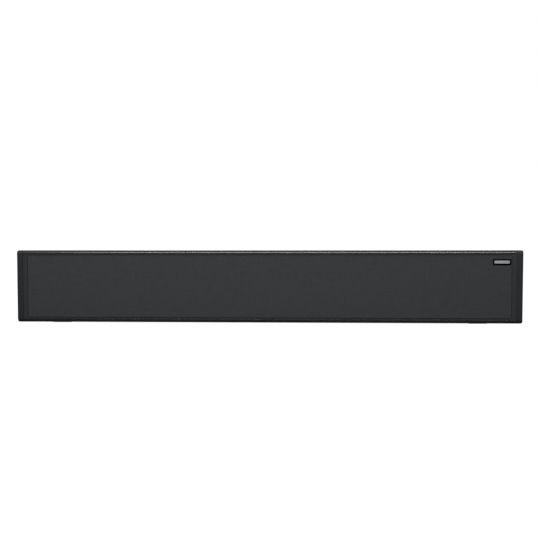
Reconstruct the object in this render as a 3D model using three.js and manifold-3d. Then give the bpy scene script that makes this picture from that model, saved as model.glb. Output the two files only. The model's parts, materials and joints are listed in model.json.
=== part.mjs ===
// Long, low loudspeaker bar for under a television. Millimetres, +Z up, +X along the length, the front faces -Y.
// The origin is under the middle of the bar, on the plane that its feet stand on.
// Outside: a painted aluminium sleeve, open to the front, closed by two moulded end caps. A framed cloth grille
// pulls off the front baffle. Inside: four woofers, two tweeters, two ports, the boards and the socket panel.
import * as THREE from 'three';
import { mergeVertices } from 'three/addons/utils/BufferGeometryUtils.js';
import Module from 'manifold-3d';

const wasm = await Module();
wasm.setup();

// ---------------------------------------------------------------- driving dimensions

const LENGTH = 914;
const DEPTH = 86;
const BODY_HEIGHT = 130.5;
const FOOT_HEIGHT = 1.5;

const GAP = 0.3;
const WALL = 2.2;
const CAP_WIDTH = 11;
const EDGE_RADIUS = 6;
const CAP_EDGE = 3;
const END_PLATE = 3;
const RECESS_DEPTH = 1.2;
const SCREW_SEAT = 3.4;
const BUTTON_HOLE = 4.8;

const BEZEL_SETBACK = 1.4;
const BEZEL_SIDE = 8.8;
const GRILLE_BOTTOM = 10.1;
const GRILLE_TOP = 121.7;
const SEAM = 0.7;
const CLOTH = 0.6;
const FRAME_THICK = 2.3;
const BOARD_FRONT = -31;
const BOARD_BACK = -28;

const WOOFER_HOLE = 37.2;
const TWEETER_HOLE = 21.2;
const SENSOR_HOLE = 6;
const PORT_HOLE = 22;
const PEG_HOLE = 2.6;
const FLANGE_THICK = 2.5;
const WOOFER_X = [-320, -215, 215, 320];
const TWEETER_X = [-394, 394];
const PORT_X = [-150, 150];
const HANGER_X = [-300, 300];
const FOOT_X = [-380, 380];
const FOOT_Y = [-16, 26];
const PEG_X = [-431, -267.5, -120, 120, 267.5, 431];
const PEG_INSET = 4.8;
const RIB_X = [-357, -267.5, -172, -86, 0, 86, 172, 267.5, 357];

const POCKET = { halfWidth: 72, bottom: 30, top: 76, floor: 20 };
const HANGER_Z = 100;
const WALL_KEYHOLE = { head: 5.6, slot: 3.4, rise: 11 };
const BUTTON_PITCH = 16;
const BUTTON_TRAVEL = 0.9;

// ---------------------------------------------------------------- derived places

const END = LENGTH / 2;
const FRONT = -DEPTH / 2;
const REAR = DEPTH / 2;
const BOTTOM = FOOT_HEIGHT;
const TOP = FOOT_HEIGHT + BODY_HEIGHT;
const CAP_INNER = END - CAP_WIDTH;
const SLEEVE_END = CAP_INNER - GAP;
const BAFFLE_END = SLEEVE_END - GAP;
const REAR_INSIDE = REAR - WALL;
const BEZEL_FRONT = FRONT + BEZEL_SETBACK;
const GRILLE_END = CAP_INNER - BEZEL_SIDE;
const DRIVER_Z = (GRILLE_BOTTOM + GRILLE_TOP) / 2;
const FLANGE_FRONT = BOARD_FRONT - GAP - FLANGE_THICK;
const CLOTH_BACK = BEZEL_FRONT + CLOTH;
const FRAME_FRONT = CLOTH_BACK + GAP;
const FRAME_BACK = FRAME_FRONT + FRAME_THICK;
const BOSS = { y: 10, radius: 3.4, pillar: 4.2, hole: 1.8, inset: 6, rib: 2 };
const BOSS_Z = [BOTTOM + WALL + BOSS.inset, TOP - WALL - BOSS.inset];
const PLATE_INNER = END - END_PLATE;
const RECESS_FLOOR = END - RECESS_DEPTH;
const BUTTON_NAMES = ['volume_up', 'volume_down', 'pairing', 'source', 'power'];
const BUTTON_Z = BUTTON_NAMES.map((name, i) => DRIVER_Z + (2 - i) * BUTTON_PITCH);
const PEG_PLACES = PEG_X.flatMap((x) => [[x, GRILLE_BOTTOM + PEG_INSET], [x, GRILLE_TOP - PEG_INSET]]);

// ---------------------------------------------------------------- materials

const finish = (color, roughness, metalness = 0) =>
  new THREE.MeshStandardMaterial({ color, roughness, metalness });

const MATERIAL = {
  sleeve: finish(0x2a2c2e, 0.42, 0.3),
  moulding: finish(0x292b2d, 0.55),
  bezel: finish(0x2e3032, 0.6),
  cloth: finish(0x39393b, 0.95),
  gloss: finish(0x050506, 0.12),
  satin: finish(0xd8d8da, 0.35, 0.6),
  rubber: finish(0x151515, 0.9),
  steel: finish(0x8b8f93, 0.35, 1),
  blackSteel: finish(0x1b1c1e, 0.5, 0.8),
  cone: finish(0x232427, 0.8),
  magnet: finish(0x303236, 0.6, 0.4),
  board: finish(0x1d4a2c, 0.6),
  aluminium: finish(0xa9adb0, 0.4, 1),
  connector: finish(0x101012, 0.5),
  window: finish(0x1a0a0c, 0.2),
};

// ---------------------------------------------------------------- shape helpers

// An outline's own x and y become these world axes, and it is extruded along the third.
const PLANES = {
  x: new THREE.Matrix4().makeBasis(
    new THREE.Vector3(0, 1, 0), new THREE.Vector3(0, 0, 1), new THREE.Vector3(1, 0, 0)),
  y: new THREE.Matrix4().makeBasis(
    new THREE.Vector3(1, 0, 0), new THREE.Vector3(0, 0, 1), new THREE.Vector3(0, -1, 0)),
  z: new THREE.Matrix4(),
};

// Extrudes an outline along an axis from low to high, with both ends rounded by bevel. A full circle in the
// outline gets twice curveSegments sides, and so does each rounded corner.
function prism(axis, outline, low, high, bevel = 0, curveSegments = 2) {
  const geometry = new THREE.ExtrudeGeometry(outline, {
    depth: high - low - 2 * bevel,
    bevelEnabled: bevel > 0,
    bevelThickness: bevel,
    bevelSize: bevel,
    bevelOffset: -bevel,
    bevelSegments: 2,
    curveSegments,
  });
  geometry.applyMatrix4(PLANES[axis]);
  const start = axis === 'y' ? high - bevel : low + bevel;
  return geometry.translate(axis === 'x' ? start : 0, axis === 'y' ? start : 0, axis === 'z' ? start : 0);
}

// A rectangle with rounded corners, one radius for all or [bottomLeft, bottomRight, topRight, topLeft].
function rounded(left, bottom, right, top, radii, Kind = THREE.Shape) {
  const [bl, br, tr, tl] = Array.isArray(radii) ? radii : [radii, radii, radii, radii];
  const path = new Kind();
  path.moveTo(left + bl, bottom);
  path.lineTo(right - br, bottom);
  path.absarc(right - br, bottom + br, br, -Math.PI / 2, 0);
  path.lineTo(right, top - tr);
  path.absarc(right - tr, top - tr, tr, 0, Math.PI / 2);
  path.lineTo(left + tl, top);
  path.absarc(left + tl, top - tl, tl, Math.PI / 2, Math.PI);
  path.lineTo(left, bottom + bl);
  path.absarc(left + bl, bottom + bl, bl, Math.PI, Math.PI * 1.5);
  return path;
}

function rectangle(left, bottom, right, top, Kind = THREE.Shape) {
  const path = new Kind();
  path.moveTo(left, bottom);
  path.lineTo(right, bottom);
  path.lineTo(right, top);
  path.lineTo(left, top);
  path.closePath();
  return path;
}

function circle(x, y, radius, Kind = THREE.Shape) {
  const path = new Kind();
  path.absarc(x, y, radius, 0, Math.PI * 2);
  return path;
}

// A round hole with a narrower slot above it.
function keyhole(x, z, headRadius, slotHalfWidth, slotLength) {
  const join = Math.asin(slotHalfWidth / headRadius);
  const path = new THREE.Shape();
  path.absarc(x, z, headRadius, Math.PI / 2 + join, Math.PI * 2.5 - join);
  path.lineTo(x + slotHalfWidth, z + slotLength);
  path.absarc(x, z + slotLength, slotHalfWidth, 0, Math.PI);
  return path;
}

function box(x0, y0, z0, x1, y1, z1) {
  const geometry = new THREE.BoxGeometry(x1 - x0, y1 - y0, z1 - z0);
  return geometry.translate((x0 + x1) / 2, (y0 + y1) / 2, (z0 + z1) / 2);
}

// A rod along an axis between two coordinates on it; u and v are its place across that axis.
function rod(axis, u, v, radius, low, high, sides = 12) {
  return prism(axis, circle(u, v, radius), low, high, 0, sides / 2);
}

// Turns a profile of [radius, y] points about a line along Y. A profile that is off the axis closes on itself.
function turned(profile, x, z, y = 0, segments = 14) {
  const points = profile.map(([r, h]) => new THREE.Vector2(r, h));
  const ring = profile[0][0] > 0;
  if (ring) points.push(points[0].clone());
  const area = points.reduce((sum, p, i) => {
    const q = points[(i + 1) % points.length];
    return sum + p.x * q.y - q.x * p.y;
  }, 0);
  if (area < 0) points.reverse();
  return new THREE.LatheGeometry(points, segments).translate(x, y, z);
}

function solidOf(geometry) {
  const bare = geometry.index ? geometry.toNonIndexed() : geometry.clone();
  bare.deleteAttribute('normal');
  bare.deleteAttribute('uv');
  const merged = mergeVertices(bare, 1e-4);
  return new wasm.Manifold(new wasm.Mesh({
    numProp: 3,
    vertProperties: merged.attributes.position.array,
    triVerts: new Uint32Array(merged.index.array),
  }));
}

function geometryOf(solid) {
  const mesh = solid.getMesh();
  const geometry = new THREE.BufferGeometry();
  geometry.setAttribute('position', new THREE.BufferAttribute(mesh.vertProperties, 3));
  geometry.setIndex(new THREE.BufferAttribute(mesh.triVerts, 1));
  return geometry;
}

// Joins the first list of geometries, then cuts away the second.
function shaped(joined, cut = []) {
  let solid = solidOf(joined[0]);
  for (const piece of joined.slice(1)) solid = solid.add(solidOf(piece));
  for (const piece of cut) solid = solid.subtract(solidOf(piece));
  return geometryOf(solid);
}

const bar = new THREE.Group();

function part(name, geometry, material) {
  const mesh = new THREE.Mesh(geometry, material);
  mesh.name = name;
  bar.add(mesh);
}

// ---------------------------------------------------------------- sleeve and end caps

// The sleeve's section in (y, z): one bent wall around the bottom, the back and the top, with its edges curled over
// at the front.
function sleeveSection() {
  const inner = EDGE_RADIUS - WALL;
  const quarter = Math.PI / 2;
  const path = new THREE.Shape();
  path.moveTo(FRONT, BOTTOM + EDGE_RADIUS);
  path.absarc(FRONT + EDGE_RADIUS, BOTTOM + EDGE_RADIUS, EDGE_RADIUS, Math.PI, Math.PI + quarter);
  path.absarc(REAR - EDGE_RADIUS, BOTTOM + EDGE_RADIUS, EDGE_RADIUS, -quarter, 0);
  path.absarc(REAR - EDGE_RADIUS, TOP - EDGE_RADIUS, EDGE_RADIUS, 0, quarter);
  path.absarc(FRONT + EDGE_RADIUS, TOP - EDGE_RADIUS, EDGE_RADIUS, quarter, Math.PI);
  path.absarc(FRONT + EDGE_RADIUS, TOP - EDGE_RADIUS, inner, Math.PI, quarter, true);
  path.absarc(REAR - EDGE_RADIUS, TOP - EDGE_RADIUS, inner, quarter, 0, true);
  path.absarc(REAR - EDGE_RADIUS, BOTTOM + EDGE_RADIUS, inner, 0, -quarter, true);
  path.absarc(FRONT + EDGE_RADIUS, BOTTOM + EDGE_RADIUS, inner, -quarter, -Math.PI, true);
  return path;
}

// The rib that holds a screw channel off the sleeve's wall.
function channelRib(z) {
  const wall = z < TOP / 2 ? BOTTOM + WALL / 2 : TOP - WALL / 2;
  return box(-SLEEVE_END, BOSS.y - BOSS.rib / 2, Math.min(z, wall), SLEEVE_END, BOSS.y + BOSS.rib / 2, Math.max(z, wall));
}

function sleeve() {
  const cutLow = REAR - 2 * WALL;
  const cutHigh = REAR + 1;
  const { halfWidth, bottom, top } = POCKET;
  const { head, slot, rise } = WALL_KEYHOLE;
  const margin = 2.4;
  const pocketHole = rounded(-halfWidth - margin, bottom - margin, halfWidth + margin, top + margin, 4);
  return shaped(
    [
      prism('x', sleeveSection(), -SLEEVE_END, SLEEVE_END, 0, 3),
      ...BOSS_Z.map((z) => rod('x', BOSS.y, z, BOSS.radius, -SLEEVE_END, SLEEVE_END, 14)),
      ...BOSS_Z.map(channelRib),
    ],
    [
      ...BOSS_Z.map((z) => rod('x', BOSS.y, z, BOSS.hole, -END, END, 12)),
      prism('y', pocketHole, cutLow, cutHigh),
      ...PORT_X.map((x) => rod('y', x, DRIVER_Z, PORT_HOLE, cutLow, cutHigh, 28)),
      ...HANGER_X.map((x) => prism('y', keyhole(x, HANGER_Z, head, slot, rise), cutLow, cutHigh)),
    ],
  );
}

// A cap closes one end: an end plate with rounded edges, a skirt as long as the cap, and a spigot inside the sleeve.
function endCap(side) {
  const shell = rounded(FRONT, BOTTOM, REAR, TOP, EDGE_RADIUS);
  const fit = WALL + GAP;
  const spigotEnd = CAP_INNER - 8;
  const low = BOTTOM + fit;
  const high = TOP - fit;
  const spigot = rounded(BOARD_BACK + 1, low, REAR - fit, high, [0.5, 3.4, 3.4, 0.5]);
  const spigotHole = rounded(BOARD_BACK + 3, low + 2, REAR - fit - 2, high - 2, 1.5);
  const joined = [
    prism('x', shell, CAP_INNER - CAP_EDGE, END, CAP_EDGE, 3),
    prism('x', spigot, spigotEnd, CAP_INNER + 0.5),
  ];
  const thick = fit + 2;
  const hollow = rounded(FRONT + thick, BOTTOM + thick, REAR - thick, TOP - thick, 1.5);
  const front = box(CAP_INNER - CAP_EDGE - 1, FRONT - 1, BOTTOM - 1, CAP_INNER, BOARD_BACK + 1, TOP + 1);
  const outsideSpigot = prism('x', rounded(FRONT - 9, BOTTOM - 9, REAR + 9, TOP + 9, 1), spigotEnd, CAP_INNER);
  const collar = geometryOf(solidOf(outsideSpigot).subtract(solidOf(prism('x', spigot, 0, END))));
  const cut = [
    front,
    collar,
    prism('x', hollow, CAP_INNER, PLATE_INNER),
    prism('x', spigotHole, spigotEnd - 1, CAP_INNER + 1),
    ...BOSS_Z.map((z) => box(spigotEnd - 1, BOSS.y - 4, z - BOSS.inset, CAP_INNER, BOSS.y + 4, z + BOSS.inset)),
    ...BOSS_Z.map((z) => rod('x', BOSS.y, z, BOSS.hole, CAP_INNER - 1, END + 1, 12)),
    ...BOSS_Z.map((z) => rod('x', BOSS.y, z, SCREW_SEAT, RECESS_FLOOR - 1, END + 1, 16)),
  ];
  const pillar = BOSS_Z.map((z) => shaped(
    [rod('x', BOSS.y, z, BOSS.pillar, CAP_INNER, PLATE_INNER + 1, 16)],
    [rod('x', BOSS.y, z, BOSS.hole, CAP_INNER - 1, END, 12)],
  ));
  let solid = solidOf(shaped(joined, cut));
  for (const piece of pillar) solid = solid.add(solidOf(piece));
  if (side > 0) {
    const recess = rounded(-8.5, BUTTON_Z[4] - 11, 8.5, BUTTON_Z[0] + 11, 8.4);
    solid = solid.subtract(solidOf(prism('x', recess, RECESS_FLOOR, END + 1)));
    for (const z of BUTTON_Z) solid = solid.subtract(solidOf(rod('x', 0, z, BUTTON_HOLE, CAP_INNER + 1, END, 20)));
  } else {
    solid = solid.mirror([1, 0, 0]);
  }
  return geometryOf(solid);
}

// A pan-head screw through a cap into the sleeve's screw channel.
function capScrew(side, z) {
  const seat = RECESS_FLOOR - 1 + GAP;
  const screw = shaped(
    [
      rod('x', BOSS.y, z, 2.9, seat, END - 0.3, 16),
      rod('x', BOSS.y, z, 1.4, CAP_INNER - 12, seat + 0.2, 12),
    ],
    [box(END - 1.3, BOSS.y - 2, z - 0.35, END, BOSS.y + 2, z + 0.35)],
  );
  return side > 0 ? screw : geometryOf(solidOf(screw).mirror([1, 0, 0]));
}

part('sleeve', sleeve(), MATERIAL.sleeve);
part('left_end_cap', endCap(-1), MATERIAL.moulding);
part('right_end_cap', endCap(1), MATERIAL.moulding);
for (const [sideName, side] of [['left', -1], ['right', 1]]) {
  part(`${sideName}_cap_screw_bottom`, capScrew(side, BOSS_Z[0]), MATERIAL.blackSteel);
  part(`${sideName}_cap_screw_top`, capScrew(side, BOSS_Z[1]), MATERIAL.blackSteel);
}

// ---------------------------------------------------------------- buttons and their board

function button(z) {
  return shaped([
    rod('x', 0, z, 4.4, PLATE_INNER - 0.9, END - 0.3, 16),
    rod('x', 0, z, 6, PLATE_INNER - 1.5, PLATE_INNER - GAP, 16),
    rod('x', 0, z, 1.6, PLATE_INNER - 3, PLATE_INNER - 1, 10),
  ]);
}

// The board stands inside the right cap, with one dome switch behind each button's stem.
function buttonBoard() {
  const back = CAP_INNER + GAP;
  const front = back + 1.4;
  return shaped([
    box(back, -9, BUTTON_Z[4] - 9, front, 9, BUTTON_Z[0] + 9),
    ...BUTTON_Z.map((z) => rod('x', 0, z, 3, front - 0.2, PLATE_INNER - 3 - BUTTON_TRAVEL - GAP, 12)),
  ]);
}

BUTTON_NAMES.forEach((name, i) => part(`${name}_button`, button(BUTTON_Z[i]), MATERIAL.rubber));
part('button_board', buttonBoard(), MATERIAL.board);

// ---------------------------------------------------------------- baffle, grille and badge

function frontBaffle() {
  const bottom = BOTTOM + EDGE_RADIUS + GAP;
  const top = TOP - EDGE_RADIUS - GAP;
  const outside = rectangle(-BAFFLE_END, bottom, BAFFLE_END, top);
  const opening = rounded(-GRILLE_END - SEAM, GRILLE_BOTTOM - SEAM, GRILLE_END + SEAM, GRILLE_TOP + SEAM, 2.2);
  const hole = (x, z, radius, sides) => rod('y', x, z, radius, BOARD_FRONT - 1, BOARD_BACK + 1, sides);
  return shaped(
    [prism('y', outside, BEZEL_FRONT, BOARD_BACK)],
    [
      prism('y', opening, BEZEL_FRONT - 1, BOARD_FRONT, 0, 3),
      ...WOOFER_X.map((x) => hole(x, DRIVER_Z, WOOFER_HOLE, 24)),
      ...TWEETER_X.map((x) => hole(x, DRIVER_Z, TWEETER_HOLE, 20)),
      hole(0, DRIVER_Z, SENSOR_HOLE, 16),
      ...PEG_PLACES.map(([x, z]) => hole(x, z, PEG_HOLE, 10)),
    ],
  );
}

// The frame that the cloth is stretched on: a rim, upright ribs between the drivers, and push-in pegs.
function grilleFrame() {
  const inset = CLOTH + GAP;
  const left = -GRILLE_END + inset;
  const bottom = GRILLE_BOTTOM + inset;
  const top = GRILLE_TOP - inset;
  const rim = 7.5;
  const edges = [left + rim, ...RIB_X.flatMap((x) => [x - 2, x + 2]), -left - rim];
  const windows = RIB_X.concat(END).map((unused, i) => box(
    edges[2 * i], FRAME_FRONT - 1, bottom + rim, edges[2 * i + 1], FRAME_BACK + 1, top - rim));
  const plate = prism('y', rounded(left, bottom, -left, top, 1.6), FRAME_FRONT, FRAME_BACK, 0, 2);
  const pegs = PEG_PLACES.map(([x, z]) => rod('y', x, z, 2, FRAME_BACK - 0.2, BOARD_BACK + 1.5, 8));
  return shaped([shaped([plate], windows), ...pegs]);
}

// The cloth covers the frame's face and turns back over its four edges.
function grilleCloth() {
  const outside = rounded(-GRILLE_END, GRILLE_BOTTOM, GRILLE_END, GRILLE_TOP, 2.2);
  const inside = rounded(
    -GRILLE_END + CLOTH, GRILLE_BOTTOM + CLOTH, GRILLE_END - CLOTH, GRILLE_TOP - CLOTH, 1.7);
  return shaped(
    [prism('y', outside, BEZEL_FRONT, FRAME_BACK, 0, 4)],
    [prism('y', inside, CLOTH_BACK, FRAME_BACK + 1, 0, 4)],
  );
}

// A blank gloss plate near the grille's upper right corner, with a plain bar let into its face.
const BADGE = { width: 32, height: 10.4, right: GRILLE_END - 1.6, top: GRILLE_TOP - 5.4 };

function badgeOutline(inset, radius) {
  return rounded(
    BADGE.right - BADGE.width + inset, BADGE.top - BADGE.height + inset,
    BADGE.right - inset, BADGE.top - inset, radius);
}

const BADGE_FACE = FRONT + 0.35;
part('front_baffle', frontBaffle(), MATERIAL.bezel);
part('grille_frame', grilleFrame(), MATERIAL.moulding);
part('grille_cloth', grilleCloth(), MATERIAL.cloth);
part('badge_plate', shaped(
  [prism('y', badgeOutline(0, 1.2), BADGE_FACE, BEZEL_FRONT - GAP, 0, 3)],
  [prism('y', badgeOutline(2.3, 1.2), FRONT, BADGE_FACE + 0.35, 0, 3)],
), MATERIAL.gloss);
part('badge_inlay', prism('y', badgeOutline(2.6, 0.9), FRONT + 0.1, BADGE_FACE + 0.05, 0, 3), MATERIAL.satin);

// ---------------------------------------------------------------- woofers and tweeters

// Profiles are [radius, distance behind the flange's front face].
const WOOFER = {
  chassis: [
    [11, 27], [11, 25.2], [18.2, 24.6], [33.4, 7], [35.2, 1.5],
    [39.6, 1.5], [39.6, 0], [42, 0], [42, 2.5], [36.4, 2.5], [34.8, 8], [19.6, 27],
  ],
  magnet: [[0, 27.3], [7.3, 27.3], [7.3, 38], [10, 38], [10, 27.3], [25, 27.3], [25, 43], [0, 43]],
  cone: [
    [0, 9.8], [6, 10.6], [11, 13.6], [18, 9.2], [26, 4.9], [30.2, 3.8], [30.2, 4.5],
    [26.2, 5.7], [18.2, 10.4], [9.1, 17], [9.1, 30], [8.3, 30], [8.3, 13.2], [6, 11.5], [0, 10.7],
  ],
};

// A half-round roll between the chassis ledge and the cone's rim.
function surroundProfile() {
  const middle = 33.6;
  const roll = 3.4;
  const thickness = 0.6;
  const arc = (radius, from, to) => Array.from({ length: 5 }, (unused, i) => {
    const angle = from + ((to - from) * i) / 4;
    return [middle + radius * Math.cos(angle), 0.6 - radius * Math.sin(angle)];
  });
  return [
    [39.3, 0.6], ...arc(roll, 0, Math.PI), [middle - roll, 2.6], [27.8, 2.8],
    [27.8, 3.4], [middle - roll + thickness, 3.2], ...arc(roll - thickness, Math.PI, 0), [middle + 3, 1.2], [39.3, 1.2],
  ];
}

const TWEETER = {
  body: [
    [0, 9], [13, 9], [13, 5.4], [14.5, 5.4], [20, 1.8], [26, 0.4],
    [26, 2.5], [20.6, 2.5], [20.6, 26], [0, 26],
  ],
  dome: [
    [0, 1.6], [5, 2.2], [9.4, 4], [11, 4.8], [12.6, 4.4], [12.6, 5], [10.6, 5.9], [5, 3.4], [0, 2.8],
  ],
};

WOOFER_X.forEach((x, i) => {
  const name = `woofer_${i + 1}`;
  part(`${name}_chassis`, turned(WOOFER.chassis, x, DRIVER_Z, FLANGE_FRONT), MATERIAL.blackSteel);
  part(`${name}_magnet`, turned(WOOFER.magnet, x, DRIVER_Z, FLANGE_FRONT), MATERIAL.magnet);
  part(`${name}_surround`, turned(surroundProfile(), x, DRIVER_Z, FLANGE_FRONT), MATERIAL.rubber);
  part(`${name}_cone`, turned(WOOFER.cone, x, DRIVER_Z, FLANGE_FRONT), MATERIAL.cone);
});
TWEETER_X.forEach((x, i) => {
  const name = `tweeter_${i + 1}`;
  part(`${name}_body`, turned(TWEETER.body, x, DRIVER_Z, FLANGE_FRONT), MATERIAL.moulding);
  part(`${name}_dome`, turned(TWEETER.dome, x, DRIVER_Z, FLANGE_FRONT + 1), MATERIAL.cloth);
});

// ---------------------------------------------------------------- rear ports, hangers and feet

// An open tube with a flared mouth that fills the sleeve's round hole, and a flange behind the wall.
const PORT_PROFILE = [
  [16, -12], [18, -12], [18, REAR_INSIDE - 3], [26, REAR_INSIDE - 2.4], [26, REAR_INSIDE - GAP],
  [21.6, REAR_INSIDE - GAP], [21.6, REAR - 0.3], [20.8, REAR - 0.3], [18.2, REAR - 2.6], [16.6, REAR - 6.6], [16, REAR - 12],
];

function hangerPlate(x) {
  const plate = rounded(x - 18, HANGER_Z - 14, x + 18, HANGER_Z + 19, 3);
  plate.holes.push(new THREE.Path(keyhole(x, HANGER_Z, 4.6, 2.3, 11).getPoints(4)));
  return prism('y', plate, REAR_INSIDE - GAP - 1.6, REAR_INSIDE - GAP, 0, 3);
}

PORT_X.forEach((x, i) => {
  part(`${['left', 'right'][i]}_port_tube`, turned(PORT_PROFILE, x, DRIVER_Z, 0, 20), MATERIAL.moulding);
});
HANGER_X.forEach((x, i) => part(`${['left', 'right'][i]}_hanger_plate`, hangerPlate(x), MATERIAL.steel));
FOOT_X.forEach((x, i) => FOOT_Y.forEach((y, j) => {
  const pad = rounded(x - 18, y - 5, x + 18, y + 5, 5);
  const name = `${['left', 'right'][i]}_${['front', 'rear'][j]}_foot`;
  part(name, prism('z', pad, 0, FOOT_HEIGHT - GAP), MATERIAL.rubber);
}));

// ---------------------------------------------------------------- socket panel and its sockets

const PANEL = { wall: 2, flange: 8 };
const SOCKET_Z = (POCKET.bottom + POCKET.top) / 2;
const SOCKET_FACE = POCKET.floor + 0.8;
const BOARD_Y = 4;
const SOCKET_BACK = BOARD_Y + 1.6 + GAP;

// Each socket: its place along X, and the half width and half height of the hole it fills in the pocket's floor.
const SOCKETS = {
  power_inlet: { x: -50, halfWidth: 10.5, halfHeight: 7.5 },
  hdmi_socket: { x: -18, halfWidth: 9, halfHeight: 4.2 },
  optical_socket: { x: 8, halfWidth: 6.6, halfHeight: 7 },
  aux_socket: { x: 31, halfWidth: 5, halfHeight: 5 },
  usb_socket: { x: 54, halfWidth: 8.2, halfHeight: 4.4 },
};

function socketOutline(name, margin, radius) {
  const { x, halfWidth, halfHeight } = SOCKETS[name];
  return rounded(
    x - halfWidth - margin, SOCKET_Z - halfHeight - margin,
    x + halfWidth + margin, SOCKET_Z + halfHeight + margin, radius);
}

function terminalPanel() {
  const { halfWidth, bottom, top, floor } = POCKET;
  const tray = rounded(-halfWidth - 2, bottom - 2, halfWidth + 2, top + 2, 3.6);
  const flange = rounded(
    -halfWidth - PANEL.flange, bottom - PANEL.flange, halfWidth + PANEL.flange, top + PANEL.flange, 4);
  const pocket = rounded(-halfWidth, bottom, halfWidth, top, 2);
  return shaped(
    [
      prism('y', tray, floor - PANEL.wall, REAR - 0.4, 0, 3),
      prism('y', flange, REAR_INSIDE - GAP - 2, REAR_INSIDE - GAP, 0, 3),
    ],
    [
      prism('y', pocket, floor, REAR + 1, 0, 3),
      ...Object.keys(SOCKETS).map(
        (name) => prism('y', socketOutline(name, GAP, 1), floor - PANEL.wall - 1, floor + 1, 0, 1)),
    ],
  );
}

// A socket housing from the main board to just proud of the pocket's floor, with a cavity cut from its face.
function socketBody(name, cavity, depth, kept = []) {
  const housing = prism('y', socketOutline(name, 0, 0.8), SOCKET_BACK, SOCKET_FACE, 0, 1);
  const hollow = prism('y', cavity, SOCKET_FACE - depth, SOCKET_FACE + 1, 0, 6);
  return shaped([shaped([housing], [hollow]), ...kept]);
}

function powerInlet() {
  const { x } = SOCKETS.power_inlet;
  const lobe = 4.3;
  const figureEight = new THREE.Shape();
  figureEight.absarc(x + 3.6, SOCKET_Z, lobe, -1.9, 1.9);
  figureEight.absarc(x - 3.6, SOCKET_Z, lobe, Math.PI - 1.9, Math.PI + 1.9);
  const pins = [-4.3, 4.3].map((dx) => rod('y', x + dx, SOCKET_Z, 1.2, SOCKET_FACE - 12, SOCKET_FACE - 2.5, 10));
  return socketBody('power_inlet', figureEight, 11.5, pins);
}

function hdmiSocket() {
  const { x } = SOCKETS.hdmi_socket;
  const mouth = new THREE.Shape();
  mouth.moveTo(x - 5.2, SOCKET_Z - 2.9);
  mouth.lineTo(x + 5.2, SOCKET_Z - 2.9);
  mouth.lineTo(x + 7.2, SOCKET_Z - 1);
  mouth.lineTo(x + 7.2, SOCKET_Z + 2.6);
  mouth.lineTo(x - 7.2, SOCKET_Z + 2.6);
  mouth.lineTo(x - 7.2, SOCKET_Z - 1);
  const tongue = box(x - 6, SOCKET_FACE - 11, SOCKET_Z + 0.2, x + 6, SOCKET_FACE - 1.5, SOCKET_Z + 1.2);
  return socketBody('hdmi_socket', mouth, 10.5, [tongue]);
}

// The optical socket's square mouth leaves headroom for its flap to fold up inside.
const OPTICAL = { halfWidth: 4.8, bottom: -4.8, top: 5.6, depth: 13 };
const FLAP = { hingeY: SOCKET_FACE - 1.6, hingeZ: SOCKET_Z + 4.5, radius: 0.7, thickness: 0.9 };

function opticalSocket() {
  const { x } = SOCKETS.optical_socket;
  const { halfWidth, bottom, top, depth } = OPTICAL;
  const mouth = rectangle(x - halfWidth, SOCKET_Z + bottom, x + halfWidth, SOCKET_Z + top);
  const light = rod('y', x, SOCKET_Z - 0.6, 1.4, SOCKET_FACE - depth - 0.5, SOCKET_FACE - 11, 10);
  return socketBody('optical_socket', mouth, depth, [light]);
}

function opticalFlap() {
  const { x } = SOCKETS.optical_socket;
  const { halfWidth, bottom } = OPTICAL;
  const { hingeY, hingeZ, radius, thickness } = FLAP;
  const halfFlap = halfWidth - 0.4;
  return shaped([
    box(x - halfFlap, hingeY - thickness / 2, SOCKET_Z + bottom + 0.4, x + halfFlap, hingeY + thickness / 2, hingeZ),
    rod('x', hingeY, hingeZ, radius, x - halfFlap, x + halfFlap, 10),
  ]);
}

function usbSocket() {
  const { x } = SOCKETS.usb_socket;
  const mouth = rectangle(x - 6.3, SOCKET_Z - 2.6, x + 6.3, SOCKET_Z + 2.6);
  const tongue = box(x - 5.4, SOCKET_FACE - 12, SOCKET_Z + 0.3, x + 5.4, SOCKET_FACE - 1.2, SOCKET_Z + 2.1);
  return socketBody('usb_socket', mouth, 11.5, [tongue]);
}

part('terminal_panel', terminalPanel(), MATERIAL.moulding);
part('power_inlet', powerInlet(), MATERIAL.connector);
part('hdmi_socket', hdmiSocket(), MATERIAL.steel);
part('optical_socket', opticalSocket(), MATERIAL.connector);
part('optical_flap', opticalFlap(), MATERIAL.connector);
part('aux_socket', socketBody('aux_socket', circle(SOCKETS.aux_socket.x, SOCKET_Z, 1.85), 13), MATERIAL.connector);
part('usb_socket', usbSocket(), MATERIAL.steel);

// ---------------------------------------------------------------- electronics

function heatSink() {
  const base = box(-30, BOARD_Y - 5, 72, 30, BOARD_Y - GAP, 108);
  const fins = Array.from({ length: 9 }, (unused, i) => {
    const x = -29 + (i * 58) / 8;
    return box(x - 1, BOARD_Y - 20, 72, x + 1, BOARD_Y - 4, 108);
  });
  return shaped([base, ...fins]);
}

function transformer() {
  const core = box(-121, 4, 40, -91, 29.7, 76);
  const winding = box(-123, 8, 44, -89, 25, 72);
  return shaped([core, winding]);
}

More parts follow.
